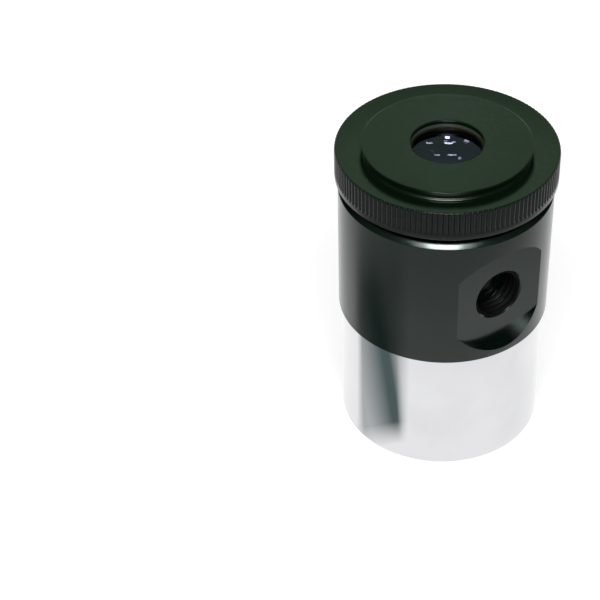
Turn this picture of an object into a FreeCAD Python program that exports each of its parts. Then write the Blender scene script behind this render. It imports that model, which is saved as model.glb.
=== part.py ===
import FreeCAD, Part
import os
import re
import Sketcher

# Reticle eyepiece for a 1.25 inch focuser.
# The frame stands on the middle of the barrel's open end: +Z runs up the optical axis to the eye,
# and the threaded port for the illuminator faces -Y. Millimetres throughout.

SIZES = {
    # Nose barrel
    "barrel_radius": 15.875,
    "barrel_length": 21.6,
    "rim_chamfer": 0.3,
    "filter_wall": 1.625,
    "filter_depth": 5.0,
    "filter_shoulder": 0.35,
    "joint_wall": 1.45,
    "joint_length": 6.0,
    # Housing
    "body_step": 0.495,
    "body_height": 22.65,
    "body_chamfer": 0.7,
    "body_edge": 0.2,
    "mouth_chamfer": 0.3,
    "helicoid_radius": 12.5,
    "web_thickness": 1.7,
    "spigot_wall": 1.7,
    "cone_drop": 1.5,
    # Illuminator port
    "port_drop": 12.39,
    "port_face_depth": 1.81,
    "port_face_radius": 9.09,
    "port_thread_radius": 4.0,
    "port_chamfer": 0.2,
    "port_floor": 0.7,
    "port_window_radius": 2.0,
    # Focus ring and eye disc
    "focus_gap": 1.32,
    "closed_gap": 0.12,
    "focus_rise": 1.5,
    "stop_margin": 0.15,
    "ring_overhang": 0.48,
    "ring_height": 4.87,
    "ring_chamfer": 0.3,
    "ring_edge": 0.15,
    "band_height": 0.85,
    "knurl_count": 132,
    "knurl_depth": 0.22,
    "knurl_width": 0.5,
    "ring_skirt": 5.6,
    "dish_depth": 1.09,
    "disc_rise": 0.76,
    "disc_radius": 12.8,
    "disc_edge": 0.1,
    "lip_height": 0.6,
    "groove_depth": 0.6,
    "groove_height": 0.5,
    "flank_width": 0.4,
    "plate_thickness": 1.2,
    "eye_hole_radius": 5.5,
    "eye_bevel": 0.2,
    # Lens cell and its rings
    "cell_wall": 2.65,
    "cell_lip_height": 0.3,
    "cell_lip_reach": 0.15,
    "cell_end_inset": 0.45,
    "lens_thread_inset": 0.45,
    "lens_thread_lead_in": 0.3,
    "lens_ring_height": 1.1,
    "stop_flange": 0.9,
    "stop_height": 1.0,
    "damper_width": 0.9,
    "damper_height": 0.9,
    "damper_bevel": 0.2,
    # Lenses
    "lens_radius": 6.6,
    "flint_centre": 1.0,
    "crown_edge": 0.5,
    "lens_gap": 0.4,
    "cement_curve": 11.0,
    "outer_curve": 16.0,
    "lens_seat": 0.7,
    "back_focus": 8.4,
    # Reticle
    "reticle_radius": 8.5,
    "reticle_thickness": 1.5,
    "reticle_seat": 1.1,
    "reticle_wall": 1.9,
    "reticle_lip": 0.4,
    "reticle_bevel": 0.12,
    "light_hole_radius": 0.9,
    "field_stop_radius": 5.45,
    "field_stop_thickness": 0.3,
    "reticle_ring_height": 1.0,
    "cell_recess": 0.2,
    "lock_ring_height": 1.2,
    "lock_ring_step": 0.1,
    # Spanner slots in the threaded rings
    "slot_width": 1.0,
    "slot_depth": 0.45,
    # Clearances
    "thread_clearance": 0.05,
    "helicoid_clearance": 0.08,
    "running_clearance": 0.05,
    "guide_clearance": 0.2,
    "assembly_gap": 0.3,
    "lens_fit": 0.05,
    "damper_fit": 0.03,
}

# Radii that follow from the sizes
FILTER = "(barrel_radius - filter_wall)"
BARREL_BORE = f"({FILTER} - filter_shoulder)"
JOINT = "(barrel_radius - joint_wall)"
SPIGOT = f"({JOINT} - thread_clearance)"
BODY = "(barrel_radius + body_step)"
RING = f"({BODY} + ring_overhang)"
LENS_BORE = "(lens_radius + lens_fit)"
LENS_THREAD = f"({LENS_BORE} + lens_thread_inset)"
LENS_VIEW = "(lens_radius - lens_seat)"
CELL = f"({LENS_BORE} + cell_wall)"
CELL_END = f"({CELL} - cell_end_inset)"
STOP_RING = f"({CELL} + stop_flange)"
RETICLE_POCKET = "(reticle_radius + lens_fit)"
RETICLE_BORE = f"max({STOP_RING} + assembly_gap; {RETICLE_POCKET} + reticle_wall + thread_clearance)"
RETICLE_CELL = f"({RETICLE_BORE} - thread_clearance)"
RETICLE_VIEW = "(reticle_radius - reticle_seat)"
WEB_BORE = f"({CELL} + guide_clearance)"
DAMPER_BORE = f"({CELL} + damper_fit)"
DAMPER = f"({DAMPER_BORE} + damper_width)"
SOCKET = f"({CELL} + running_clearance)"
SKIRT = "(helicoid_radius - helicoid_clearance)"
GROOVE = "(disc_radius - groove_depth)"
SHOULDER = f"({GROOVE} + flank_width)"

# Heights on the optical axis, from the barrel's rim up to the eye disc
BODY_TOP = "(barrel_length + body_height)"
RING_BASE = f"({BODY_TOP} + focus_gap)"
RING_TOP = f"({RING_BASE} + ring_height)"
DISC_TOP = f"({RING_TOP} + disc_rise)"
LIP_BASE = f"({DISC_TOP} - lip_height)"
GROOVE_BASE = f"({LIP_BASE} - groove_height)"
DISH_FOOT = f"({RING_TOP} - dish_depth)"
PLATE_BASE = f"({DISC_TOP} - plate_thickness)"

# Heights of the lenses, counted down from the eye plate
CEMENT_SAG = "(cement_curve - sqrt(cement_curve ^ 2 - lens_radius ^ 2))"
OUTER_SAG = "(outer_curve - sqrt(outer_curve ^ 2 - lens_radius ^ 2))"
SEAT_SAG = f"(outer_curve - sqrt(outer_curve ^ 2 - {LENS_VIEW} ^ 2))"
CROWN_CENTRE = f"(crown_edge + {CEMENT_SAG} + {OUTER_SAG})"
LENS_TOP = f"({PLATE_BASE} - cell_lip_height)"
EYE_CEMENT = f"({LENS_TOP} - flint_centre)"
EYE_CROWN = f"({EYE_CEMENT} - {CROWN_CENTRE})"
FIELD_CROWN = f"({EYE_CROWN} - lens_gap)"
FIELD_CEMENT = f"({FIELD_CROWN} - {CROWN_CENTRE})"
LENS_BASE = f"({FIELD_CEMENT} - flint_centre)"
LENS_RING_BASE = f"({LENS_BASE} - lens_ring_height)"

# Heights of the housing's web and of the travel stop below it
SKIRT_BASE = f"({RING_BASE} - ring_skirt)"
FOCUS_DROP = "(focus_gap - closed_gap)"
WEB_TOP = f"({SKIRT_BASE} - {FOCUS_DROP} - stop_margin)"
WEB_BASE = f"({WEB_TOP} - web_thickness)"
DAMPER_TOP = f"({WEB_TOP} - web_thickness / 2 + damper_height / 2)"
DAMPER_BASE = f"({DAMPER_TOP} - damper_height)"
STOP_TOP = f"({WEB_BASE} - focus_rise - stop_margin)"
CELL_BASE = f"({STOP_TOP} - stop_height)"

# Heights of the reticle, whose lower face lies in the focus of the lenses
RETICLE_FACE = f"({LENS_BASE} - back_focus)"
RETICLE_TOP = f"({RETICLE_FACE} + reticle_thickness)"
FIELD_STOP_BASE = f"({RETICLE_FACE} - field_stop_thickness)"
RETICLE_RING_BASE = f"({FIELD_STOP_BASE} - reticle_ring_height)"
RETICLE_CELL_BASE = f"({RETICLE_RING_BASE} - cell_recess)"
LOCK_RING_BASE = f"({RETICLE_CELL_BASE} - lock_ring_height)"
CONE_TOP = f"({LOCK_RING_BASE} - cone_drop)"
SPIGOT_BASE = "(barrel_length - joint_length)"
PORT_HEIGHT = f"({BODY_TOP} - port_drop)"
PORT_FACE = f"({BODY} - port_face_depth)"
PORT_DEPTH = f"({PORT_FACE} - {RETICLE_BORE} - port_floor)"

doc = FreeCAD.newDocument("ReticleEyepiece")
sheet = doc.addObject("Spreadsheet::Sheet", "Sizes")
for row, (alias, size) in enumerate(SIZES.items(), start=1):
    sheet.set(f"A{row}", alias)
    sheet.set(f"B{row}", str(size))
    sheet.setAlias(f"B{row}", alias)
doc.recompute()

ORIGIN = (-1, 1)


def formula(text):
    """Points each size named in a formula at its cell in the sheet."""
    return re.sub(r"\b([a-z]+(?:_[a-z]+)+)\b", r"Sizes.\1", text)


def number(text):
    """Works a formula out, for the first place of a sketched point."""
    return float(sheet.evalExpression(formula(text)))


def bind(thing, name, text):
    thing.setExpression(name, formula(text))


def limit(sketch, kind, *target, text):
    """Adds one dimension to a sketch and binds it to a formula."""
    index = sketch.addConstraint(Sketcher.Constraint(kind, *target, number(text)))
    bind(sketch, f"Constraints[{index}]", text)


def new_body(label):
    body = doc.addObject("PartDesign::Body", label)
    body.Label = label
    return body


def new_sketch(body, role, offset=None):
    """Adds a sketch on one of the body's own planes, moved along its normal."""
    sketch = body.newObject("Sketcher::SketchObject", f"{body.Label}_sketch")
    plane = next(feature for feature in body.Origin.OriginFeatures if feature.Role == role)
    sketch.AttachmentSupport = (plane, "")
    sketch.MapMode = "FlatFace"
    if offset is not None:
        bind(sketch, "AttachmentOffset.Base.z", offset)
    return sketch


def place(sketch, point, across, up):
    """Fixes a sketched point at its radius and height."""
    limit(sketch, "DistanceX", *ORIGIN, *point, text=across)
    limit(sketch, "DistanceY", *ORIGIN, *point, text=up)


def draw_outline(sketch, corners):
    """Draws a closed outline through corners given as formulas of radius and height."""
    points = [FreeCAD.Vector(number(across), number(up), 0) for across, up in corners]
    count = len(points)
    edges = [Part.LineSegment(points[i], points[(i + 1) % count]) for i in range(count)]
    lines = sketch.addGeometry(edges, False)
    for i, line in enumerate(lines):
        following = lines[(i + 1) % count]
        sketch.addConstraint(Sketcher.Constraint("Coincident", line, 2, following, 1))
        place(sketch, (line, 1), *corners[i])


def revolve(body, sketch):
    turned = body.newObject("PartDesign::Revolution", f"{body.Label}_turned")
    turned.Profile = sketch
    turned.ReferenceAxis = (sketch, ["V_Axis"])
    turned.Angle = 360
    return turned


def turned_body(label, corners):
    """A lathe-turned piece, from the outline of half its section."""
    body = new_body(label)
    sketch = new_sketch(body, "XZ_Plane")
    draw_outline(sketch, corners)
    revolve(body, sketch)
    return body


def plain_ring(label, inner, outer, base, top):
    return turned_body(label, [(inner, base), (outer, base), (outer, top), (inner, top)])


def pocket(body, sketch, depth, reverse=False):
    """Cuts a sketch into the body by a depth, against the sketch's normal or with it."""
    doc.recompute()
    before = body.Shape.Volume
    cut = body.newObject("PartDesign::Pocket", f"{body.Label}_pocket")
    cut.Profile = sketch
    cut.Type = "Length"
    cut.Reversed = reverse
    bind(cut, "Length", depth)
    doc.recompute()
    if body.Shape.Volume >= before:
        raise RuntimeError(f"a pocket in {body.Label} cuts nothing")
    return cut


def draw_circle(sketch, up, radius):
    """Draws a circle on the upright axis of a sketch."""
    centre = FreeCAD.Vector(0, number(up), 0)
    circle = sketch.addGeometry(Part.Circle(centre, FreeCAD.Vector(0, 0, 1), number(radius)), False)
    place(sketch, (circle, 3), "0", up)
    limit(sketch, "Radius", circle, text=radius)


def cut_spanner_slot(body, base, outer):
    """Cuts one straight slot across the lower face of a threaded ring."""
    sketch = new_sketch(body, "XY_Plane", offset=base)
    far = number(f"{outer} + slot_width")
    half = number("slot_width / 2")
    corners = [(far, half), (-far, half), (-far, -half), (far, -half)]
    points = [FreeCAD.Vector(across, up, 0) for across, up in corners]
    edges = [Part.LineSegment(points[i], points[(i + 1) % 4]) for i in range(4)]
    lines = sketch.addGeometry(edges, False)
    for i, line in enumerate(lines):
        direction = "Vertical" if i % 2 else "Horizontal"
        sketch.addConstraint(Sketcher.Constraint(direction, line))
        sketch.addConstraint(Sketcher.Constraint("Coincident", line, 2, lines[(i + 1) % 4], 1))
    sketch.addConstraint(Sketcher.Constraint("Symmetric", lines[0], 1, lines[2], 1, *ORIGIN))
    place(sketch, (lines[0], 1), f"{outer} + slot_width", "slot_width / 2")
    pocket(body, sketch, "slot_depth", reverse=True)


def lens_blank(name, base, height):
    """A glass cylinder on the optical axis, before its faces are ground."""
    blank = doc.addObject("Part::Cylinder", name)
    bind(blank, "Radius", "lens_radius")
    bind(blank, "Height", height)
    bind(blank, "Placement.Base.z", base)
    return blank


def lens_curve(name, apex, curve, bulge):
    """The ball that grinds one face, bulging up (1) or down (-1) from its apex."""
    ball = doc.addObject("Part::Sphere", name)
    bind(ball, "Radius", curve)
    sideways = FreeCAD.Rotation(FreeCAD.Vector(0, 1, 0), 90 * bulge)
    ball.Placement = FreeCAD.Placement(FreeCAD.Vector(), sideways)
    bind(ball, "Placement.Base.z", f"{apex} - {bulge} * {curve}")
    return ball


def crown_lens(label, base, upper, lower):
    """A glass that bulges on both faces: what a blank and two balls have in common."""
    blank = lens_blank(f"{label}_blank", f"{base} - crown_edge", f"{CROWN_CENTRE} + 2 * crown_edge")
    lens = doc.addObject("Part::MultiCommon", label)
    lens.Shapes = [blank, lens_curve(f"{label}_upper", *upper), lens_curve(f"{label}_lower", *lower)]
    return lens


def flint_lens(label, base, hollow):
    """A glass flat on one face, with the crown's curve cut out of the other."""
    lens = doc.addObject("Part::Cut", label)
    lens.Base = lens_blank(f"{label}_blank", base, f"flint_centre + {CEMENT_SAG}")
    lens.Tool = lens_curve(f"{label}_hollow", *hollow)
    return lens


# Nose barrel: chromed tube with the filter thread at its open end and the housing's spigot at its top
barrel = turned_body("barrel", [
    (f"{FILTER} + rim_chamfer", "0"),
    ("barrel_radius - rim_chamfer", "0"),
    ("barrel_radius", "rim_chamfer"),
    ("barrel_radius", "barrel_length"),
    (JOINT, "barrel_length"),
    (JOINT, f"{SPIGOT_BASE} - thread_clearance"),
    (BARREL_BORE, f"{SPIGOT_BASE} - thread_clearance"),
    (BARREL_BORE, "filter_depth"),
    (FILTER, "filter_depth"),
    (FILTER, "rim_chamfer"),
])

# Housing: helicoid bore, web with the damping ring's groove, reticle bore and the spigot for the barrel
body = turned_body("body", [
    (f"{BODY} - body_edge", "barrel_length"),
    (BODY, "barrel_length + body_edge"),
    (BODY, f"{BODY_TOP} - body_chamfer"),
    (f"{BODY} - body_chamfer", BODY_TOP),
    ("helicoid_radius + mouth_chamfer", BODY_TOP),
    ("helicoid_radius", f"{BODY_TOP} - mouth_chamfer"),
    ("helicoid_radius", WEB_TOP),
    (WEB_BORE, WEB_TOP),
    (WEB_BORE, f"{DAMPER_TOP} + damper_fit"),
    (f"{DAMPER} + damper_fit", f"{DAMPER_TOP} + damper_fit"),
    (f"{DAMPER} + damper_fit", f"{DAMPER_BASE} - damper_fit"),
    (WEB_BORE, f"{DAMPER_BASE} - damper_fit"),
    (WEB_BORE, WEB_BASE),
    (RETICLE_BORE, WEB_BASE),
    (RETICLE_BORE, CONE_TOP),
    (f"{SPIGOT} - spigot_wall", SPIGOT_BASE),
    (SPIGOT, SPIGOT_BASE),
    (SPIGOT, "barrel_length"),
])

# Port: a round spot-face milled into the housing's side, with the threaded hole for the illuminator
spot_face = new_sketch(body, "XZ_Plane", offset=PORT_FACE)
draw_circle(spot_face, PORT_HEIGHT, "port_face_radius")
pocket(body, spot_face, "port_face_depth * 2", reverse=True)
port_centre = new_sketch(body, "XZ_Plane", offset=PORT_FACE)
draw_circle(port_centre, PORT_HEIGHT, "port_thread_radius")
doc.recompute()
port_hole = body.newObject("PartDesign::Hole", "port_hole")
port_hole.Profile = port_centre
doc.recompute()
port_hole.DepthType = "Dimension"
port_hole.DrillPoint = "Flat"
port_hole.HoleCutType = "Countersink"
port_hole.HoleCutCustomValues = True
port_hole.HoleCutCountersinkAngle = 90
bind(port_hole, "Diameter", "port_thread_radius * 2")
bind(port_hole, "Depth", PORT_DEPTH)
bind(port_hole, "HoleCutDiameter", "(port_thread_radius + port_chamfer) * 2")

# Window in the port's floor, through which the light reaches the reticle
window = new_sketch(body, "XZ_Plane", offset=PORT_FACE)
draw_circle(window, PORT_HEIGHT, "port_window_radius")
pocket(body, window, PORT_FACE)

# Focus ring: knurled rim, dished top and the raised eye disc with the groove that holds an eyecup
focus_ring = turned_body("focus_ring", [
    ("eye_hole_radius", PLATE_BASE),
    ("eye_hole_radius", f"{DISC_TOP} - eye_bevel"),
    ("eye_hole_radius + eye_bevel", DISC_TOP),
    ("disc_radius - disc_edge", DISC_TOP),
    ("disc_radius", f"{DISC_TOP} - disc_edge"),
    ("disc_radius", LIP_BASE),
    (GROOVE, LIP_BASE),
    (GROOVE, GROOVE_BASE),
    (SHOULDER, f"{GROOVE_BASE} - flank_width"),
    (SHOULDER, DISH_FOOT),
    (f"{RING} - ring_chamfer", RING_TOP),
    (RING, f"{RING_TOP} - ring_chamfer"),
    (RING, f"{RING_BASE} + ring_edge"),
    (f"{RING} - ring_edge", RING_BASE),
    (SKIRT, RING_BASE),
    (SKIRT, SKIRT_BASE),
    (SOCKET, SKIRT_BASE),
    (SOCKET, PLATE_BASE),
])
groove = new_sketch(focus_ring, "XY_Plane", offset=RING_TOP)
draw_outline(groove, [
    (f"{RING} - knurl_depth", "0"),
    (f"{RING} + knurl_depth", "-knurl_width"),
    (f"{RING} + knurl_depth", "knurl_width"),
])
knurl_groove = pocket(focus_ring, groove, "ring_height - band_height")
knurl = focus_ring.newObject("PartDesign::PolarPattern", "knurl")
knurl.Originals = [knurl_groove]
knurl.Axis = (groove, ["N_Axis"])
knurl.Angle = 360
bind(knurl, "Occurrences", "knurl_count")
focus_ring.Tip = knurl

# Lens cell: brass tube whose lip holds the lenses against the eye plate
turned_body("lens_cell", [
    ("eye_hole_radius - cell_lip_reach", LENS_TOP),
    ("eye_hole_radius - cell_lip_reach", PLATE_BASE),
    (CELL, PLATE_BASE),
    (CELL, STOP_TOP),
    (CELL_END, STOP_TOP),
    (CELL_END, CELL_BASE),
    (LENS_THREAD, CELL_BASE),
    (LENS_THREAD, f"{LENS_BASE} + lens_thread_lead_in"),
    (LENS_BORE, f"{LENS_BASE} + lens_thread_lead_in"),
    (LENS_BORE, LENS_TOP),
])

# Two cemented doublets, alike and with their crowns facing each other
eye_curve = (EYE_CEMENT, "cement_curve", 1)
field_curve = (FIELD_CEMENT, "cement_curve", -1)
flint_lens("eye_lens_flint", f"{EYE_CEMENT} - {CEMENT_SAG}", eye_curve)
crown_lens("eye_lens_crown", EYE_CROWN, eye_curve, (EYE_CROWN, "outer_curve", -1))
crown_lens("field_lens_crown", FIELD_CEMENT, (FIELD_CROWN, "outer_curve", 1), field_curve)
flint_lens("field_lens_flint", LENS_BASE, field_curve)
plain_ring("lens_spacer", LENS_VIEW, "lens_radius", f"{FIELD_CROWN} - {SEAT_SAG}", f"{EYE_CROWN} + {SEAT_SAG}")

# Rings screwed on and into the lens cell
lens_ring_outer = f"({LENS_THREAD} - thread_clearance)"
lens_ring = plain_ring("lens_retaining_ring", LENS_VIEW, lens_ring_outer, LENS_RING_BASE, LENS_BASE)
cut_spanner_slot(lens_ring, LENS_RING_BASE, lens_ring_outer)
stop_bore = f"({CELL_END} + thread_clearance)"
stop_ring = plain_ring("travel_stop_ring", stop_bore, STOP_RING, CELL_BASE, STOP_TOP)
cut_spanner_slot(stop_ring, CELL_BASE, STOP_RING)

# Damping ring: rubber ring in the web's groove that grips the lens cell
turned_body("damping_ring", [
    (f"{DAMPER_BORE} + damper_bevel", DAMPER_BASE),
    (DAMPER, DAMPER_BASE),
    (DAMPER, DAMPER_TOP),
    (f"{DAMPER_BORE} + damper_bevel", DAMPER_TOP),
    (DAMPER_BORE, f"{DAMPER_TOP} - damper_bevel"),
    (DAMPER_BORE, f"{DAMPER_BASE} + damper_bevel"),
])

# Reticle cell: threaded holder with a seat for the glass and a hole that lets the port's light in
reticle_cell = turned_body("reticle_cell", [
    (RETICLE_VIEW, RETICLE_TOP),
    (RETICLE_VIEW, f"{RETICLE_TOP} + reticle_lip"),
    (RETICLE_CELL, f"{RETICLE_TOP} + reticle_lip"),
    (RETICLE_CELL, RETICLE_CELL_BASE),
    (RETICLE_POCKET, RETICLE_CELL_BASE),
    (RETICLE_POCKET, RETICLE_TOP),
])
light_hole = new_sketch(reticle_cell, "XZ_Plane")
draw_circle(light_hole, f"{RETICLE_FACE} + reticle_thickness / 2", "light_hole_radius")
pocket(reticle_cell, light_hole, BODY, reverse=True)
cut_spanner_slot(reticle_cell, RETICLE_CELL_BASE, RETICLE_CELL)

# Reticle glass with bevelled edges, its field stop and the rings that hold it
turned_body("reticle_glass", [
    ("0", RETICLE_FACE),
    ("reticle_radius - reticle_bevel", RETICLE_FACE),
    ("reticle_radius", f"{RETICLE_FACE} + reticle_bevel"),
    ("reticle_radius", f"{RETICLE_TOP} - reticle_bevel"),
    ("reticle_radius - reticle_bevel", RETICLE_TOP),
    ("0", RETICLE_TOP),
])
plain_ring("field_stop", "field_stop_radius", "reticle_radius", FIELD_STOP_BASE, RETICLE_FACE)
reticle_ring = plain_ring(
    "reticle_retaining_ring", RETICLE_VIEW, "reticle_radius", RETICLE_RING_BASE, FIELD_STOP_BASE)
cut_spanner_slot(reticle_ring, RETICLE_RING_BASE, "reticle_radius")
lock_ring = plain_ring(
    "reticle_lock_ring", "reticle_radius + lock_ring_step", RETICLE_CELL, LOCK_RING_BASE, RETICLE_CELL_BASE)
cut_spanner_slot(lock_ring, LOCK_RING_BASE, RETICLE_CELL)

# Checks, then one file per piece
doc.recompute()
kinds = ("PartDesign::Body", "Part::MultiCommon", "Part::Cut")
pieces = [thing for thing in doc.Objects if thing.TypeId in kinds]
for thing in doc.Objects:
    if "Invalid" in thing.State or "Error" in thing.State:
        raise RuntimeError(f"{thing.Label} did not compute: {thing.State}")
for piece in pieces:
    if piece.Shape.isNull() or not piece.Shape.isValid() or len(piece.Shape.Solids) != 1:
        raise RuntimeError(f"{piece.Label} is not one sound solid")
os.makedirs("parts", exist_ok=True)
for piece in pieces:
    piece.Shape.exportStep(f"parts/{piece.Label}.step")
    print(f"{piece.Label}: {piece.Shape.Volume:.1f} mm3, {len(piece.Shape.Faces)} faces")
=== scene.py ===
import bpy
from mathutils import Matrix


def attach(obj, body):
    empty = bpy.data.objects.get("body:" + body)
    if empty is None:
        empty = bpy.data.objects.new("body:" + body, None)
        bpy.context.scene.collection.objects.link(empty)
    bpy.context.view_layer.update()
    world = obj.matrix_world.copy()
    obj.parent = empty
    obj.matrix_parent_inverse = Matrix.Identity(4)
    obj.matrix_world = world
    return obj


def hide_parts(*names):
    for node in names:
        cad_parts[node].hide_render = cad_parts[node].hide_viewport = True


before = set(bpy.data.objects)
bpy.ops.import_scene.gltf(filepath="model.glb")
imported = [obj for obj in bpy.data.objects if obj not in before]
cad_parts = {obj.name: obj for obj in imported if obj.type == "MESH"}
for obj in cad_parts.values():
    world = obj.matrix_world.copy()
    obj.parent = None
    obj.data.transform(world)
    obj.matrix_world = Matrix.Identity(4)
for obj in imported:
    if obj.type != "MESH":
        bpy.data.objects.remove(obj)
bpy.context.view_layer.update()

import math

import bmesh
import bpy
from mathutils import Matrix, Vector

mm = 0.001
upAxis = Vector((0, 0, 1))
portAxis = Vector((0, -1, 0))


# Shader maths

class Wire:
    # A node's output, so that sums on it read as plain Python

    def __init__(self, finish, socket):
        self.finish = finish
        self.socket = socket

    def sum(self, kind, first, second):
        return self.finish.add("ShaderNodeMath", {"operation": kind}, {0: first, 1: second})

    def __add__(self, other):
        return self.sum("ADD", self, other)

    def __radd__(self, other):
        return self.sum("ADD", other, self)

    def __sub__(self, other):
        return self.sum("SUBTRACT", self, other)

    def __rsub__(self, other):
        return self.sum("SUBTRACT", other, self)

    def __mul__(self, other):
        return self.sum("MULTIPLY", self, other)

    def __rmul__(self, other):
        return self.sum("MULTIPLY", other, self)


class Finish:
    # Builds one node tree, of a material or of the world

    def __init__(self, owner):
        owner.use_nodes = True
        self.owner = owner
        self.tree = owner.node_tree
        self.tree.nodes.clear()

    def node(self, kind, settings, sockets):
        made = self.tree.nodes.new(kind)
        for name, value in settings.items():
            setattr(made, name, value)
        for name, value in sockets.items():
            if isinstance(value, Wire):
                self.tree.links.new(value.socket, made.inputs[name])
            else:
                made.inputs[name].default_value = value
        return made

    def add(self, kind, settings=None, sockets=None, output=0):
        made = self.node(kind, settings or {}, sockets or {})
        return Wire(self, made.outputs[output])

    def grey(self, value, low, high, bottom=0.0, top=1.0):
        limits = {"From Min": low, "From Max": high, "To Min": bottom, "To Max": top}
        return self.add("ShaderNodeMapRange", {"clamp": True}, {"Value": value, **limits})

    def blend(self, factor, first, second):
        made = self.node("ShaderNodeMix", {"data_type": "RGBA"}, {0: factor, 6: first, 7: second})
        return Wire(self, made.outputs[2])

    def place(self):
        return self.add("ShaderNodeTexCoord", output="Object")

    def noise(self, where, scale, detail=2.0):
        return self.add(
            "ShaderNodeTexNoise", {}, {"Vector": where, "Scale": scale, "Detail": detail})

    def radius(self, where):
        flat = self.add("ShaderNodeVectorMath", {"operation": "MULTIPLY"}, {0: where, 1: (1, 1, 0)})
        return self.add("ShaderNodeVectorMath", {"operation": "LENGTH"}, {0: flat}, output="Value")

    def along(self, where, axis):
        dot = {"operation": "DOT_PRODUCT"}
        return self.add("ShaderNodeVectorMath", dot, {0: where, 1: axis}, output="Value")

    def height(self, where):
        return self.add("ShaderNodeSeparateXYZ", {}, {0: where}, output="Z")

    def bump(self, value, depth, strength=1.0):
        return self.add(
            "ShaderNodeBump", {}, {"Height": value, "Distance": depth, "Strength": strength})

    def close(self, kind, sockets):
        shader = self.add(kind, {}, sockets)
        self.node(self.output, {}, {0: shader})
        return self.owner

    output = "ShaderNodeOutputMaterial"


def newFinish(name):
    return Finish(bpy.data.materials.new(name))


# Finishes. The scales are of noise, and spread is the part of it that shows

spread = (0.35, 0.65)
anodised = {
    "body": {
        "dark": (0.001, 0.0035, 0.0025), "light": (0.002, 0.006, 0.0045),
        "gloss": (0.86, 0.98, 0.93, 1)},
    "ring": {
        "dark": (0.001, 0.0055, 0.0015), "light": (0.0025, 0.0085, 0.003),
        "gloss": (0.57, 0.6, 0.57, 1)},
    "grain": 2400.0,
    "cloud": 130.0,
    "index": 1.5,
    "roughness": (0.16, 0.22),
    "cutPitch": 0.05,
    "cutDepth": 0.0008,
    "knurlRadius": 16.5,
    "knurlBlend": 0.1,
    # The eye hole's lower wall is painted paler: painted light, standing in for the light falling
    # on it
    "eyeWallPaintedLight": {
        "radius": 5.62, "top": 50.62, "blend": (0.03, 0.08), "colour": (0.07, 0.082, 0.066)},
}


def anodisedFinish(name, tint):
    finish = newFinish(name)
    where = finish.place()
    cloud = finish.noise(where, anodised["cloud"], 3.0)
    grain = finish.noise(where, anodised["grain"], 4.0)
    colour = finish.blend(finish.grey(cloud, *spread), (*tint["dark"], 1), (*tint["light"], 1))
    radius = finish.radius(where)
    height = finish.height(where)
    if tint is anodised["ring"]:
        # The knurled edge is a colder black. The lower wall of the eye hole is painted paler:
        # painted light for the light that falls on it
        outer, soft = anodised["knurlRadius"], anodised["knurlBlend"]
        edge = finish.grey(radius, (outer - soft) * mm, (outer + soft) * mm)
        colour = finish.blend(edge, colour, (*anodised["body"]["dark"], 1))
        paintedLightWall = anodised["eyeWallPaintedLight"]
        outward, downward = paintedLightWall["blend"]
        inside = finish.grey(radius, paintedLightWall["radius"] * mm, (paintedLightWall["radius"] + outward) * mm, 1, 0)
        low = finish.grey(height, (paintedLightWall["top"] - downward) * mm, paintedLightWall["top"] * mm, 1, 0)
        colour = finish.blend(inside * low, colour, (*paintedLightWall["colour"], 1))
    rough = finish.grey(grain * 0.6 + cloud * 0.4, *spread, *anodised["roughness"])
    # Fine rings left by the lathe, by radius on flat faces and by height on upright ones
    cuts = finish.add("ShaderNodeMath", {"operation": "SINE"}, {
        0: (radius + height) * (2 * math.pi / (anodised["cutPitch"] * mm))})
    relief = finish.bump(cuts * 0.5 + grain, anodised["cutDepth"] * mm, 0.6)
    return finish.close("ShaderNodeBsdfPrincipled", {
        "Base Color": colour, "Roughness": rough, "Normal": relief,
        "IOR": anodised["index"], "Specular Tint": tint["gloss"]})


chrome = {
    "colour": (0.8, 0.8, 0.815),
    "shade": (0.75, 0.75, 0.765),
    "paint": (0.012, 0.012, 0.012),
    "roughness": (0.035, 0.07),
    "cloud": 90.0,
    "grain": 1800.0,
    "wave": 0.003,
    "shadeSpread": (0.4, 0.65),
    "paintRadius": 15.0,
    "paintBlend": 0.02,
    "paintRough": 0.55,
}


def chromeFinish():
    finish = newFinish("chromePlate")
    where = finish.place()
    cloud = finish.noise(where, chrome["cloud"], 3.0)
    grain = finish.noise(where, chrome["grain"], 3.0)
    inner, soft = chrome["paintRadius"], chrome["paintBlend"]
    plated = finish.grey(finish.radius(where), (inner - soft) * mm, (inner + soft) * mm)
    shaded = finish.grey(cloud, *chrome["shadeSpread"])
    metal = finish.blend(shaded, (*chrome["colour"], 1), (*chrome["shade"], 1))
    colour = finish.blend(plated, (*chrome["paint"], 1), metal)
    polish = finish.grey(cloud * 0.5 + grain * 0.5, *spread, *chrome["roughness"])
    rough = polish * plated + (1 - plated) * chrome["paintRough"]
    relief = finish.bump(cloud * 0.7 + grain * 0.3, chrome["wave"] * mm, 0.5)
    return finish.close("ShaderNodeBsdfPrincipled", {
        "Base Color": colour, "Roughness": rough, "Metallic": plated, "Normal": relief})


innerGrain, innerCloud = 1500.0, 220.0
innerFinishes = {
    "innerBlack": {
        "dark": (0.006, 0.0065, 0.007), "light": (0.016, 0.017, 0.018),
        "rough": (0.45, 0.6), "metal": 0.0, "depth": 0.004, "index": 1.5},
    # The port thread's black finish, darkened further with a weak reflection: painted shade for the
    # inside of the port hole
    "portBlackPaintedShade": {
        "dark": (0.0006, 0.0006, 0.0007), "light": (0.0015, 0.0015, 0.0015),
        "rough": (0.55, 0.65), "metal": 0.0, "depth": 0.002, "index": 1.15},
    "blackenedBrass": {
        "dark": (0.018, 0.015, 0.006), "light": (0.036, 0.029, 0.012),
        "rough": (0.35, 0.48), "metal": 0.6, "depth": 0.003, "index": 1.5},
    "greasedRubber": {
        "dark": (0.012, 0.012, 0.012), "light": (0.03, 0.03, 0.03),
        "rough": (0.4, 0.65), "metal": 0.0, "depth": 0.006, "index": 1.5},
}


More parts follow.
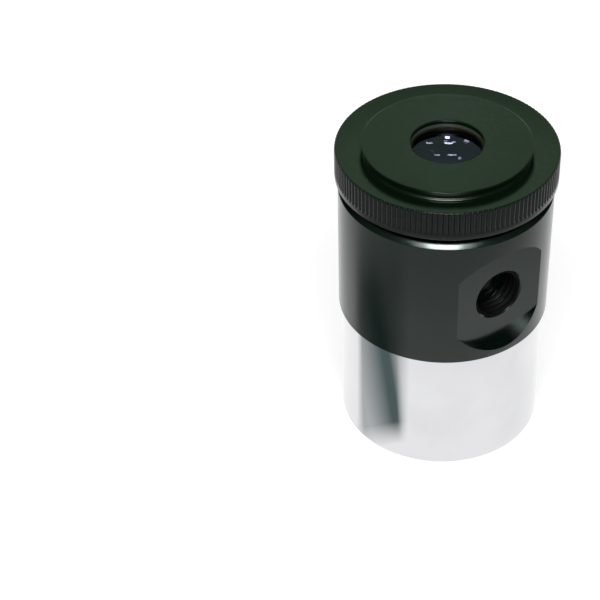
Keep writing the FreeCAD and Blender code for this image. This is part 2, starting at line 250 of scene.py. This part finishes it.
def innerFinish(name):
    values = innerFinishes[name]
    finish = newFinish(name)
    where = finish.place()
    grain = finish.noise(where, innerGrain, 4.0)
    cloud = finish.noise(where, innerCloud, 2.0)
    paleness = finish.grey(cloud * 0.6 + grain * 0.4, *spread)
    colour = finish.blend(paleness, (*values["dark"], 1), (*values["light"], 1))
    rough = finish.grey(grain, *spread, *values["rough"])
    relief = finish.bump(grain, values["depth"] * mm)
    return finish.close("ShaderNodeBsdfPrincipled", {
        "Base Color": colour, "Roughness": rough, "Normal": relief, "Metallic": values["metal"],
        "IOR": values["index"]})


dustGrain, dustSpread, dustRough = 1600.0, (0.62, 0.75), 0.05
glasses = {
    "coatedGlassPaintedShade": {
        # The coated glass's clear colour is a deep navy: painted shade, standing in for the dark
        # inside of the eyepiece seen through the lenses
        "clear": (0.15, 0.155, 0.27), "dust": (0.12, 0.125, 0.21),
        "index": 1.62, "level": 0.07, "sheen": (0.036, 0.006, 0.3, 1)},
    "clearGlass": {
        "clear": (0.9, 0.93, 0.93), "dust": (0.82, 0.84, 0.85),
        "index": 1.52, "level": 0.5, "sheen": (1, 1, 1, 1)},
}


def glassFinish(name):
    values = glasses[name]
    finish = newFinish(name)
    specks = finish.grey(finish.noise(finish.place(), dustGrain, 2.0), *dustSpread)
    colour = finish.blend(specks, (*values["clear"], 1), (*values["dust"], 1))
    return finish.close("ShaderNodeBsdfPrincipled", {
        "Base Color": colour, "Roughness": specks * dustRough, "Transmission Weight": 1.0,
        "IOR": values["index"], "Specular IOR Level": values["level"],
        "Specular Tint": values["sheen"]})


finishes = {
    "body": anodisedFinish("blackAnodisedBody", anodised["body"]),
    "ring": anodisedFinish("blackAnodisedRing", anodised["ring"]),
    "chrome": chromeFinish(),
    "innerBlack": innerFinish("innerBlack"),
    "portBlackPaintedShade": innerFinish("portBlackPaintedShade"),
    "brass": innerFinish("blackenedBrass"),
    "rubber": innerFinish("greasedRubber"),
    "coatedGlassPaintedShade": glassFinish("coatedGlassPaintedShade"),
    "clearGlass": glassFinish("clearGlass"),
}
print("finishes ready")


# Turning and threads

mergeWithin = 0.0004 * mm
ridgeHalf, crestHalf = 0.47, 0.1  # shares of a thread's pitch


def smoothFaces(piece, smoothTo):
    # Wide faces keep their own normals, so that only the roundings between them look bent
    piece.data.shade_smooth()
    piece.data.set_sharp_from_angle(angle=math.radians(smoothTo))
    piece.modifiers.new("normals", "WEIGHTED_NORMAL").keep_sharp = True


def newPiece(bm, name, finish, body, stands=(), smoothTo=32):
    bmesh.ops.remove_doubles(bm, verts=bm.verts, dist=mergeWithin)
    bmesh.ops.recalc_face_normals(bm, faces=bm.faces)
    mesh = bpy.data.meshes.new(name)
    bm.to_mesh(mesh)
    bm.free()
    mesh.materials.append(finish)
    piece = bpy.data.objects.new(name, mesh)
    bpy.context.scene.collection.objects.link(piece)
    smoothFaces(piece, smoothTo)
    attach(piece, body)
    if stands:
        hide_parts(*stands)
    print(name, len(mesh.polygons), "faces")
    return piece


def drawOutline(bm, corners, rounding, closed=True):
    # An outline in the plane of radius (x) and height (z), its corners rounded
    points = [bm.verts.new((across * mm, 0, up * mm)) for across, up in corners]
    ends = points[1:] + points[:1] if closed else points[1:]
    for pair in zip(points, ends):
        bm.edges.new(pair)
    if rounding:
        bmesh.ops.bevel(
            bm, geom=points, offset=rounding * mm, offset_type="OFFSET", segments=2,
            profile=0.5, affect="VERTICES", clamp_overlap=True, material=-1)


def turn(corners, steps, rounding=0.05, axis=upAxis, closed=True):
    bm = bmesh.new()
    drawOutline(bm, corners, rounding, closed)
    if axis is portAxis:
        bmesh.ops.rotate(bm, verts=bm.verts, matrix=Matrix.Rotation(math.radians(90), 3, "X"))
    bmesh.ops.spin(
        bm, geom=bm.verts[:] + bm.edges[:], cent=(0, 0, 0), axis=axis, dvec=(0, 0, 0),
        angle=math.tau, steps=steps, use_merge=True)
    bmesh.ops.remove_doubles(bm, verts=bm.verts, dist=mergeWithin)
    return bm


def windThread(values, steps=72):
    # A helical ridge about the upright axis, cut off level at both ends
    root, crest, pitch = values["root"], values["crest"], values["pitch"]
    low, high = values["from"], values["to"]
    turns = math.ceil((high - low) / pitch) + 2
    start = low - pitch
    bm = bmesh.new()
    half, flat = pitch * ridgeHalf, pitch * crestHalf
    ridge = [
        (root, start - half), (crest, start - flat), (crest, start + flat), (root, start + half)]
    points = [bm.verts.new((across * mm, 0, up * mm)) for across, up in ridge]
    bm.faces.new(points)
    bmesh.ops.spin(
        bm, geom=bm.faces[:], cent=(0, 0, 0), axis=(0, 0, 1), angle=math.tau * turns,
        steps=steps * turns, dvec=(0, 0, pitch * mm / steps), use_merge=False)
    for level, side in ((low, -1), (high, 1)):
        cut = bmesh.ops.bisect_plane(
            bm, geom=bm.verts[:] + bm.edges[:] + bm.faces[:], dist=0.00001 * mm,
            plane_co=(0, 0, level * mm), plane_no=(0, 0, side), clear_outer=True)
        rim = [edge for edge in cut["geom_cut"] if isinstance(edge, bmesh.types.BMEdge)]
        bmesh.ops.holes_fill(bm, edges=rim, sides=0)
    return bm


def carve(piece, cutter):
    # Cuts one shape out of a piece and keeps the result as its mesh
    piece.modifiers.clear()
    cut = piece.modifiers.new("cut", "BOOLEAN")
    cut.operation = "DIFFERENCE"
    cut.solver = "EXACT"
    cut.object = cutter
    bpy.context.view_layer.update()
    ready = piece.evaluated_get(bpy.context.evaluated_depsgraph_get())
    mesh = bpy.data.meshes.new_from_object(ready)
    piece.modifiers.clear()
    piece.data = mesh
    bpy.data.objects.remove(cutter)


# Nose barrel

barrel = {
    "radius": 15.875,
    "top": 21.6,
    "rim": 0.3,
    "filterRadius": 14.25,
    "filterDepth": 5.0,
    "bore": 13.9,
    "joint": 14.425,
    "jointBase": 15.55,
    "rounding": 0.08,
    "steps": 256,
    "thread": {"root": 14.27, "crest": 13.95, "pitch": 0.6, "from": 0.45, "to": 4.7},
    "threadSteps": 96,
}
tube = turn([
    (barrel["filterRadius"] + barrel["rim"], 0),
    (barrel["radius"] - barrel["rim"], 0),
    (barrel["radius"], barrel["rim"]),
    (barrel["radius"], barrel["top"]),
    (barrel["joint"], barrel["top"]),
    (barrel["joint"], barrel["jointBase"]),
    (barrel["bore"], barrel["jointBase"]),
    (barrel["bore"], barrel["filterDepth"]),
    (barrel["filterRadius"], barrel["filterDepth"]),
    (barrel["filterRadius"], barrel["rim"]),
], barrel["steps"], barrel["rounding"])
newPiece(tube, "noseBarrel", finishes["chrome"], "housing", ["barrel"])
filterThread = windThread(barrel["thread"], barrel["threadSteps"])
newPiece(filterThread, "filterThread", finishes["innerBlack"], "housing")


# Housing with its port

housing = {
    "radius": 16.37,
    "base": 21.6,
    "top": 44.25,
    "chamfer": 0.7,
    "edge": 0.2,
    "mouthChamfer": 0.3,
    "mouth": 12.5,
    "webTop": 38.62,
    "webBase": 36.92,
    "webBore": 9.5,
    "seal": (10.26, 38.25, 37.29),
    "reticleBore": 10.5,
    "coneTop": 26.25,
    "coneWide": 12.675,
    "spigot": 14.375,
    "spigotBase": 15.6,
    "rounding": 0.05,
    "steps": 288,
    "smoothTo": 20,
}
port = {
    "height": 31.86,
    "face": 14.56,
    "faceRadius": 9.09,
    "radius": 4.0,
    "chamfer": 0.2,
    "floor": 11.2,
    "window": 2.0,
    "windowEnd": 8,
    "millReach": 20,
    "steps": 192,
    "thread": {"root": 4.03, "crest": 3.6, "pitch": 1.0, "from": 11.3, "to": 14.3},
}
shell = turn([
    (housing["radius"] - housing["edge"], housing["base"]),
    (housing["radius"], housing["base"] + housing["edge"]),
    (housing["radius"], housing["top"] - housing["chamfer"]),
    (housing["radius"] - housing["chamfer"], housing["top"]),
    (housing["mouth"] + housing["mouthChamfer"], housing["top"]),
    (housing["mouth"], housing["top"] - housing["mouthChamfer"]),
    (housing["mouth"], housing["webTop"]),
    (housing["webBore"], housing["webTop"]),
    (housing["webBore"], housing["seal"][1]),
    (housing["seal"][0], housing["seal"][1]),
    (housing["seal"][0], housing["seal"][2]),
    (housing["webBore"], housing["seal"][2]),
    (housing["webBore"], housing["webBase"]),
    (housing["reticleBore"], housing["webBase"]),
    (housing["reticleBore"], housing["coneTop"]),
    (housing["coneWide"], housing["spigotBase"]),
    (housing["spigot"], housing["spigotBase"]),
    (housing["spigot"], housing["base"]),
], housing["steps"], housing["rounding"])
housingPiece = newPiece(
    shell, "housingShell", finishes["body"], "housing", ["body"])

# The port is milled out: the round spot-face, the hole and the window in its floor
mill = turn([
    (0, port["millReach"]),
    (port["faceRadius"], port["millReach"]),
    (port["faceRadius"], port["face"]),
    (port["radius"] + port["chamfer"], port["face"]),
    (port["radius"], port["face"] - port["chamfer"]),
    (port["radius"], port["floor"]),
    (port["window"], port["floor"]),
    (port["window"], port["windowEnd"]),
    (0, port["windowEnd"]),
], port["steps"], 0, portAxis, closed=False)
bmesh.ops.translate(mill, verts=mill.verts, vec=(0, 0, port["height"] * mm))
bmesh.ops.recalc_face_normals(mill, faces=mill.faces)
millMesh = bpy.data.meshes.new("mill")
mill.to_mesh(millMesh)
mill.free()
millPiece = bpy.data.objects.new("mill", millMesh)
bpy.context.scene.collection.objects.link(millPiece)
carve(housingPiece, millPiece)
smoothFaces(housingPiece, housing["smoothTo"])

portThread = windThread(port["thread"])
bmesh.ops.rotate(
    portThread, verts=portThread.verts, matrix=Matrix.Rotation(math.radians(90), 3, "X"))
bmesh.ops.translate(portThread, verts=portThread.verts, vec=(0, 0, port["height"] * mm))
newPiece(portThread, "portThread", finishes["portBlackPaintedShade"], "housing")


# Knurled focus ring with the eye disc

ring = {
    "radius": 16.85,
    "base": 45.57,
    "top": 50.44,
    "edge": 0.15,
    "chamfer": 0.3,
    "chamferBend": (0.11, 0.08),
    "rounding": 0.022,
    "dishFoot": (12.6, 49.35),
    "disc": 12.8,
    "discTop": 51.2,
    "discEdge": (0.16, 0.08),
    "lip": 0.6,
    "groove": 12.2,
    "grooveBase": 50.1,
    "flank": (12.35, 49.75),
    "flankRise": 0.25,
    "eyeHole": 5.5,
    "eyeBevel": (0.2, 0.12),
    "plateBase": 50.0,
    "socket": 9.35,
    "skirtRoot": 11.95,
    "skirtBase": 39.97,
    "knurlBase": 46.42,
    "knurlRunOut": 0.5,
    "knurlMargin": (0.01, 0.1),
    "teeth": 132,
    "columns": 6,  # points to a tooth
    "toothShape": (0.03, 0.0, 0.03, 0.11, 0.22, 0.11),  # how deep each column lies
    "thread": {"root": 11.93, "crest": 12.4, "pitch": 1.0, "from": 40.0, "to": 45.1},
}
columns = ring["columns"]
rim = turn([
    (ring["eyeHole"], ring["plateBase"]),
    (ring["eyeHole"], ring["discTop"] - ring["eyeBevel"][1]),
    (ring["eyeHole"] + ring["eyeBevel"][0], ring["discTop"]),
    (ring["disc"] - ring["discEdge"][0], ring["discTop"]),
    (ring["disc"], ring["discTop"] - ring["discEdge"][1]),
    (ring["disc"], ring["discTop"] - ring["lip"]),
    (ring["groove"], ring["discTop"] - ring["lip"]),
    (ring["groove"], ring["grooveBase"]),
    ring["flank"],
    (ring["dishFoot"][0], ring["dishFoot"][1] + ring["flankRise"]),
    ring["dishFoot"],
    (ring["radius"] - ring["chamfer"], ring["top"]),
    (ring["radius"] - ring["chamferBend"][0], ring["top"] - ring["chamferBend"][1]),
    (ring["radius"], ring["top"] - ring["chamfer"]),
    (ring["radius"], ring["knurlBase"] + ring["knurlRunOut"]),
    (ring["radius"], ring["knurlBase"]),
    (ring["radius"], ring["base"] + ring["edge"]),
    (ring["radius"] - ring["edge"], ring["base"]),
    (ring["skirtRoot"], ring["base"]),
    (ring["skirtRoot"], ring["skirtBase"]),
    (ring["socket"], ring["skirtBase"]),
    (ring["socket"], ring["plateBase"]),
], ring["teeth"] * columns, ring["rounding"])
for point in rim.verts:
    reach = point.co.xy.length
    inward, upward = ring["knurlMargin"]
    outside = reach > (ring["radius"] - ring["chamfer"] + inward) * mm
    if outside and point.co.z > (ring["knurlBase"] + upward) * mm:
        around = math.atan2(point.co.y, point.co.x) / math.tau
        column = round(around * ring["teeth"] * columns) % columns
        limit = (ring["radius"] - ring["toothShape"][column]) * mm
        if reach > limit:
            point.co.xy *= limit / reach
newPiece(rim, "focusRing", finishes["ring"], "focus_top", ["focus_ring"])
focusThread = windThread(ring["thread"])
newPiece(focusThread, "focusThread", finishes["innerBlack"], "focus_top")


# Lenses and reticle

lenses = {
    "radius": 6.6,
    "eyeTop": 49.7,
    "eyeApex": 44.575,
    "fieldApex": 44.175,
    "fieldBase": 39.05,
    "curve": 16.0,
    "edge": 0.06,
    "arcSteps": 20,
    "steps": 128,
}


def groundFace(bm, apex, side):
    # Sweeps one point of the axis out to the rim of the glass, about the centre of the curve
    centre = Vector((0, 0, (apex + side * lenses["curve"]) * mm))
    tip = bm.verts.new((0, 0, apex * mm))
    span = math.asin(lenses["radius"] / lenses["curve"])
    swept = bmesh.ops.spin(
        bm, geom=[tip], cent=centre, axis=(0, side, 0), dvec=(0, 0, 0), angle=-span,
        steps=lenses["arcSteps"])
    return tip, swept["geom_last"][0]


def groundLens(name, apex, side, flat, stands):
    bm = bmesh.new()
    tip, rimPoint = groundFace(bm, apex, side)
    corner = bm.verts.new((lenses["radius"] * mm, 0, flat * mm))
    middle = bm.verts.new((0, 0, flat * mm))
    bm.edges.new((rimPoint, corner))
    bm.edges.new((corner, middle))
    bmesh.ops.bevel(
        bm, geom=[corner], offset=lenses["edge"] * mm, offset_type="OFFSET", segments=1,
        profile=0.5, affect="VERTICES", clamp_overlap=True, material=-1)
    bmesh.ops.spin(
        bm, geom=bm.verts[:] + bm.edges[:], cent=(0, 0, 0), axis=(0, 0, 1), dvec=(0, 0, 0),
        angle=math.tau, steps=lenses["steps"], use_merge=True)
    newPiece(bm, name, finishes["coatedGlassPaintedShade"], "lens_group", stands)


groundLens(
    "eyeDoublet", lenses["eyeApex"], 1, lenses["eyeTop"], ["eye_lens_flint", "eye_lens_crown"])
groundLens(
    "fieldDoublet", lenses["fieldApex"], -1, lenses["fieldBase"],
    ["field_lens_crown", "field_lens_flint"])

reticle = {
    "radius": 8.49,
    "base": 30.66,
    "top": 32.14,
    "bevel": 0.12,
    "lineBase": 30.652,
    "lineTop": 30.659,
    "lineWidth": 0.05,
    "lineLength": 10.7,
    "pairGap": 0.36,
    "circles": (0.9, 1.8),
    "steps": 96,
    "circleSteps": 64,
}
plate = turn([
    (0, reticle["base"]),
    (reticle["radius"] - reticle["bevel"], reticle["base"]),
    (reticle["radius"], reticle["base"] + reticle["bevel"]),
    (reticle["radius"], reticle["top"] - reticle["bevel"]),
    (reticle["radius"] - reticle["bevel"], reticle["top"]),
    (0, reticle["top"]),
], reticle["steps"], 0, closed=False)
newPiece(
    plate, "reticlePlate", finishes["clearGlass"], "housing", ["reticle_glass"])

# A double cross and two circles, on the glass's lower face
lines = bmesh.new()
thick = reticle["lineTop"] - reticle["lineBase"]
for turned in (0, 90):
    for side in (-0.5, 0.5):
        for outward in (-1, 1):
            length = reticle["lineLength"] / 2 - reticle["circles"][0]
            size = Matrix.Diagonal((length * mm, reticle["lineWidth"] * mm, thick * mm, 1))
            away = outward * (reticle["circles"][0] + length / 2)
            middle = Vector((away, side * reticle["pairGap"], 0)) * mm
            middle.z = (reticle["lineTop"] + reticle["lineBase"]) / 2 * mm
            turning = Matrix.Rotation(math.radians(turned), 4, "Z")
            spot = turning @ Matrix.Translation(middle) @ size
            bmesh.ops.create_cube(lines, size=1, matrix=spot)
for circle in reticle["circles"]:
    hoop = bmesh.new()
    drawOutline(hoop, [
        (circle, reticle["lineBase"]),
        (circle + reticle["lineWidth"], reticle["lineBase"]),
        (circle + reticle["lineWidth"], reticle["lineTop"]),
        (circle, reticle["lineTop"]),
    ], 0)
    bmesh.ops.spin(
        hoop, geom=hoop.verts[:] + hoop.edges[:], cent=(0, 0, 0), axis=(0, 0, 1), dvec=(0, 0, 0),
        angle=math.tau, steps=reticle["circleSteps"], use_merge=True)
    spare = bpy.data.meshes.new("hoop")
    hoop.to_mesh(spare)
    hoop.free()
    lines.from_mesh(spare)
    bpy.data.meshes.remove(spare)
newPiece(lines, "reticleLines", finishes["innerBlack"], "housing")


# Inner pieces kept from the solid model

keptPieces = {
    "lens_cell": "brass",
    "lens_spacer": "innerBlack",
    "lens_retaining_ring": "innerBlack",
    "travel_stop_ring": "innerBlack",
    "damping_ring": "rubber",
    "reticle_cell": "innerBlack",
    "field_stop": "innerBlack",
    "reticle_retaining_ring": "innerBlack",
    "reticle_lock_ring": "innerBlack",
}
for name, finish in keptPieces.items():
    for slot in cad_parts[name].material_slots:
        slot.material = finishes[finish]
print("inner pieces dressed")


# Studio

studio = {
    "cameraTurn": -35.667,
    "cameraPlace": (-0.13135, -0.183015, 0.208296),
    "cameraAngles": (50.1719, 1.351, -31.0467),
    "cameraLens": 110.356,
    "sensorWidth": 36,
    "floorSize": 3,
    "floorDrop": 0.00003,
    "floorColour": (0.9, 0.9, 0.9, 1),
    # What the camera adds to the floor's light, near and far
    "floorSeen": (0.37, 0.6),
    "floorSpread": (90, 500),
    # What the gloss sees of the floor: in front, near and far, and behind
    "floorNear": (45, 0.98),
    "floorFar": (88, 0.5),
    "floorBack": 1.15,
    "floorBackFrom": (-10, 60),
    # What light and the gloss see of the sky
    "skyDiffuse": 0.5,
    "skyFront": 0.12,
    "skyBackLow": 0.34,
    "skyBackHigh": 0.66,
    "skyHeights": (0.1, 0.6),
    "skyBackFrom": (0.0, 0.35),
    "skyTint": (0.66, 1.0, 0.7, 1),
    "skyEnd": (0.3, 0.6),
    "keySize": (0.43, 0.25),
    "keyDistance": 0.5,
    "keyElevation": 51,
    "keyPower": 1.55,
    "sheenSize": (0.2, 0.2),
    "sheenDistance": 0.45,
    "sheenPower": 4.0,
    "aimHeight": 0.04,
}
cameraTurn = math.radians(studio["cameraTurn"])
backwards = (-math.sin(cameraTurn), math.cos(cameraTurn), 0)
sideways = (math.cos(cameraTurn), math.sin(cameraTurn), 0)

floorMesh = bpy.data.meshes.new("floor")
floorShape = bmesh.new()
bmesh.ops.create_grid(floorShape, x_segments=8, y_segments=8, size=studio["floorSize"])
bmesh.ops.translate(floorShape, verts=floorShape.verts, vec=(0, 0, -studio["floorDrop"]))
floorShape.to_mesh(floorMesh)
floorShape.free()
floor = bpy.data.objects.new("floor", floorMesh)
bpy.context.scene.collection.objects.link(floor)
ground = newFinish("paleFloor")
lightPath = ground.node("ShaderNodeLightPath", {}, {})
seen = Wire(ground, lightPath.outputs["Is Camera Ray"])
mirrored = Wire(ground, lightPath.outputs["Is Glossy Ray"])
place = ground.place()
depth = ground.along(place, backwards)
(near, nearLevel), (far, farLevel) = studio["floorNear"], studio["floorFar"]
front = ground.grey(ground.radius(place), near * mm, far * mm, nearLevel, farLevel)
begin, full = studio["floorBackFrom"]
behind = front + ground.grey(depth, begin * mm, full * mm) * (studio["floorBack"] - front)
matt = ground.add("ShaderNodeBsdfDiffuse", {}, {"Color": studio["floorColour"]})
start, end = studio["floorSpread"]
paleness = ground.grey(ground.radius(place), start * mm, end * mm, *studio["floorSeen"])
glow = ground.add("ShaderNodeEmission", {}, {"Strength": seen * paleness})
lit = ground.add("ShaderNodeAddShader", {}, {0: matt, 1: glow})
image = ground.add("ShaderNodeEmission", {}, {"Strength": behind})
ground.close("ShaderNodeMixShader", {0: mirrored, 1: lit, 2: image})
floorMesh.materials.append(ground.owner)

world = bpy.data.worlds.new("paleStudio")
bpy.context.scene.world = world
sky = Finish(world)
sky.output = "ShaderNodeOutputWorld"
lightPath = sky.node("ShaderNodeLightPath", {}, {})
seen = Wire(sky, lightPath.outputs["Is Camera Ray"])
mirrored = Wire(sky, lightPath.outputs["Is Glossy Ray"])
passed = Wire(sky, lightPath.outputs["Is Transmission Ray"])
direction = sky.add("ShaderNodeTexCoord", output="Generated")
back = sky.along(direction, backwards)
rise = sky.grey(
    sky.height(direction), *studio["skyHeights"], studio["skyBackLow"], studio["skyBackHigh"])
# Dark at both sides, where the housing's chamfer looks
side = sky.along(direction, sideways)
rise = rise * sky.grey(side * side, *studio["skyEnd"], 1, 0)
gloss = sky.grey(back, *studio["skyBackFrom"]) * (rise - studio["skyFront"]) + studio["skyFront"]
smooth = sky.add("ShaderNodeMath", {"operation": "MAXIMUM"}, {0: mirrored, 1: passed})
level = seen + (1 - seen) * (smooth * gloss + (1 - smooth) * studio["skyDiffuse"])
colour = sky.blend(smooth * (1 - seen), (1, 1, 1, 1), studio["skyTint"])
sky.close("ShaderNodeBackground", {"Color": colour, "Strength": level})


def panel(name, power, size, place, target, forDiffuse=True):
    lamp = bpy.data.lights.new(name, "AREA")
    lamp.shape = "RECTANGLE"
    lamp.size, lamp.size_y = size
    lamp.energy = power
    box = bpy.data.objects.new(name, lamp)
    box.location = place
    box.rotation_euler = (target - place).to_track_quat("-Z", "Y").to_euler()
    box.visible_diffuse = forDiffuse
    bpy.context.scene.collection.objects.link(box)


def softBox(name, power, size, elevation, distance, forDiffuse=True):
    # A soft box above the camera, turned to the eyepiece
    rise = math.radians(elevation)
    target = Vector((0, 0, studio["aimHeight"]))
    place = target + (Vector(backwards) * -math.cos(rise) + upAxis * math.sin(rise)) * distance
    panel(name, power, size, place, target, forDiffuse)


softBox(
    "keyPanel", studio["keyPower"], studio["keySize"], studio["keyElevation"],
    studio["keyDistance"])
softBox(
    "sheenPanel", studio["sheenPower"], studio["sheenSize"], studio["keyElevation"],
    studio["sheenDistance"], False)

# Small panels placed by the law of reflection, so that the eye lens shows them as its glints
glints = {
    "distance": 0.3,
    # In mm on the glass: right of its middle, away from the camera, width, height; then radiance
    "spots": (
        (0.0, 3.3, 0.7, 0.5, 24), (-2.7, 1.6, 0.95, 0.2, 10), (0.2, 1.7, 1.2, 0.22, 18),
        (0.95, 2.0, 0.5, 0.24, 7), (2.9, 2.4, 0.7, 0.26, 9), (-1.45, -1.45, 0.85, 0.12, 9),
        (0.76, -1.35, 1.2, 0.16, 13), (1.9, -2.1, 0.4, 0.3, 7)),
}
for count, (right, away, width, height, radiance) in enumerate(glints["spots"]):
    spot = (Vector(sideways) * right + Vector(backwards) * away + upAxis * lenses["eyeTop"]) * mm
    toCamera = Vector(studio["cameraPlace"]) - spot
    bounced = Vector((-toCamera.x, -toCamera.y, toCamera.z)).normalized()
    growth = (1 + glints["distance"] / toCamera.length) * mm
    size = (width * growth, height * growth)
    power = 4 * size[0] * size[1] * radiance
    panel(f"glint{count}", power, size, spot + bounced * glints["distance"], spot, False)

# A dark card on the floor, a soft-edged fan that spreads outwards, seen only in the gloss
card = {
    "size": 0.08, "lift": 0.0002, "reach": 0.0133, "azimuth": -13, "turn": -62,
    "colour": (0.09, 0.125, 0.125, 1), "near": (0.006, 0.0112), "far": (0.045, 0.07),
    "fan": (-50, -42, 8, 27), "pale": 0.55, "core": (-40, -6, 4, 18), "bend": 0.77,
    "straight": 20}
cardMesh = bpy.data.meshes.new("darkCard")
cardShape = bmesh.new()
bmesh.ops.create_grid(cardShape, x_segments=1, y_segments=1, size=card["size"])
cardShape.to_mesh(cardMesh)
cardShape.free()
darkCard = bpy.data.objects.new("darkCard", cardMesh)
heading = cameraTurn + math.radians(card["azimuth"])
darkCard.location = (
    math.sin(heading) * card["reach"], -math.cos(heading) * card["reach"], card["lift"])
darkCard.rotation_euler = (0, 0, cameraTurn + math.radians(card["turn"] - 90))
bpy.context.scene.collection.objects.link(darkCard)
paper = newFinish("darkCard")
place = paper.place()
corner = paper.node("ShaderNodeSeparateXYZ", {}, {0: place})
length = paper.radius(place)
aside = paper.add("ShaderNodeMath", {"operation": "ARCTAN2"}, {
    0: Wire(paper, corner.outputs["Y"]), 1: Wire(paper, corner.outputs["X"])})
bent = aside + (length - card["straight"] * mm) * (math.radians(card["bend"]) / mm)


def band(angle, limits):
    start, full, last, end = [math.radians(limit) for limit in limits]
    return paper.grey(angle, start, full) * paper.grey(angle, last, end, 1, 0)


fan = band(aside, card["fan"]) * (band(bent, card["core"]) * (1 - card["pale"]) + card["pale"])
fan = fan * paper.grey(length, *card["near"]) * paper.grey(length, *card["far"], 1, 0)
dark = paper.add("ShaderNodeEmission", {}, {"Color": card["colour"]})
paper.close("ShaderNodeMixShader", {0: fan, 1: paper.add("ShaderNodeBsdfTransparent"), 2: dark})
cardMesh.materials.append(paper.owner)
darkCard.visible_camera = False
darkCard.visible_diffuse = False
darkCard.visible_shadow = False
darkCard.visible_transmission = False

cameraData = bpy.data.cameras.new("camera")
cameraData.lens = studio["cameraLens"]
cameraData.sensor_width = studio["sensorWidth"]
camera = bpy.data.objects.new("camera", cameraData)
camera.location = studio["cameraPlace"]
camera.rotation_euler = [math.radians(angle) for angle in studio["cameraAngles"]]
bpy.context.scene.collection.objects.link(camera)
bpy.context.scene.camera = camera
bpy.context.scene.view_settings.view_transform = "Standard"
print("studio ready")
